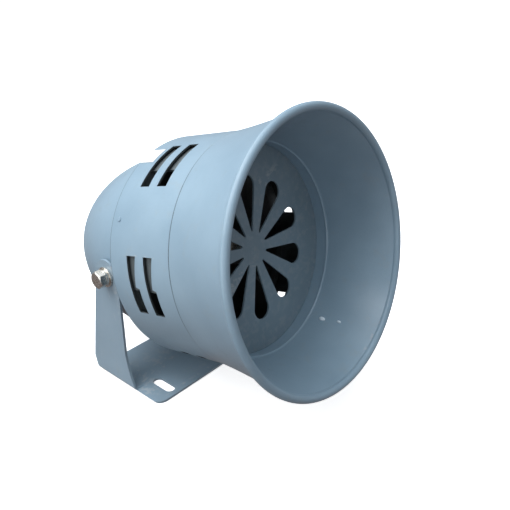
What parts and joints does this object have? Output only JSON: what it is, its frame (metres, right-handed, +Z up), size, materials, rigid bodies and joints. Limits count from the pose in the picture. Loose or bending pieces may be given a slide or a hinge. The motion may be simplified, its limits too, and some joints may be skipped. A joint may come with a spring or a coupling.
{
  "type": "motor siren",
  "caption": "Motor-driven alarm siren: flared horn with a petal-slotted front plate, slotted sound drum and domed motor housing, tilting in a U bracket with a spinning chopper rotor.",
  "frame": {"origin": "underside of the bracket's base, midway between its two fixing slots", "axes": "+Z up from the base, -Y towards the side the horn's mouth faces, X along the pivot axis"},
  "size_m": [0.165, 0.2185, 0.1867],
  "materials": {
    "painted_sheet": "semi-gloss blue-grey enamel on steel sheet",
    "painted_bell": "the same enamel inside the horn",
    "zinc": "bright zinc plate",
    "ground_steel": "ground",
    "cast_rotor": "as cast",
    "lamination": "varnished laminations",
    "copper": "enamelled copper",
    "bronze": "sintered",
    "black_rubber": "matt",
    "moulding": "phenolic moulding",
    "carbon": "carbon",
    "gasket_paper": "fibre gasket",
    "label_film": "blank white label film"
  },
  "bodies": {
    "bracket": {"mounting_bracket": "painted_sheet"},
    "head": {"horn": "painted_bell", "horn_shell": "painted_sheet", "slotted_body": "painted_sheet", "stator_plate": "painted_bell", "stator_rivets": "zinc", "rear_housing": "painted_sheet", "cable_grommet": "black_rubber", "flange_gasket": "gasket_paper", "motor_plate": "zinc", "flange_screws": "zinc", "flange_nuts": "zinc", "side_rivets": "zinc", "field_core": "lamination", "field_coils": "copper", "front_end_bell": "cast_rotor", "rear_end_bell": "cast_rotor", "bushings": "bronze", "through_bolts": "zinc", "motor_screws": "zinc", "brush_holders": "moulding", "brushes": "carbon", "brush_caps": "moulding", "terminal_block": "moulding", "terminal_screws": "zinc", "pivot_bolts": "zinc", "spring_washers": "zinc", "flat_washers": "zinc", "pivot_spacers": "zinc", "pivot_nuts": "zinc", "label": "label_film"},
    "rotor": {"rotor": "cast_rotor", "rotor_washer": "zinc", "rotor_nut": "zinc", "motor_shaft": "ground_steel", "armature_core": "lamination", "armature_windings": "copper", "commutator": "copper"}
  },
  "joints": [
    {"name": "head_tilt", "type": "hinge", "parent": "bracket", "child": "head", "pos_m": [0, 0.0268, 0.0795], "axis": [-1, 0, 0], "range_deg": [-15, 40]},
    {"name": "rotor_spin", "type": "hinge", "parent": "head", "child": "rotor", "pos_m": [0, 0.0268, 0.0795], "axis": [0, -0.9744, 0.225], "continuous": true}
  ]
}
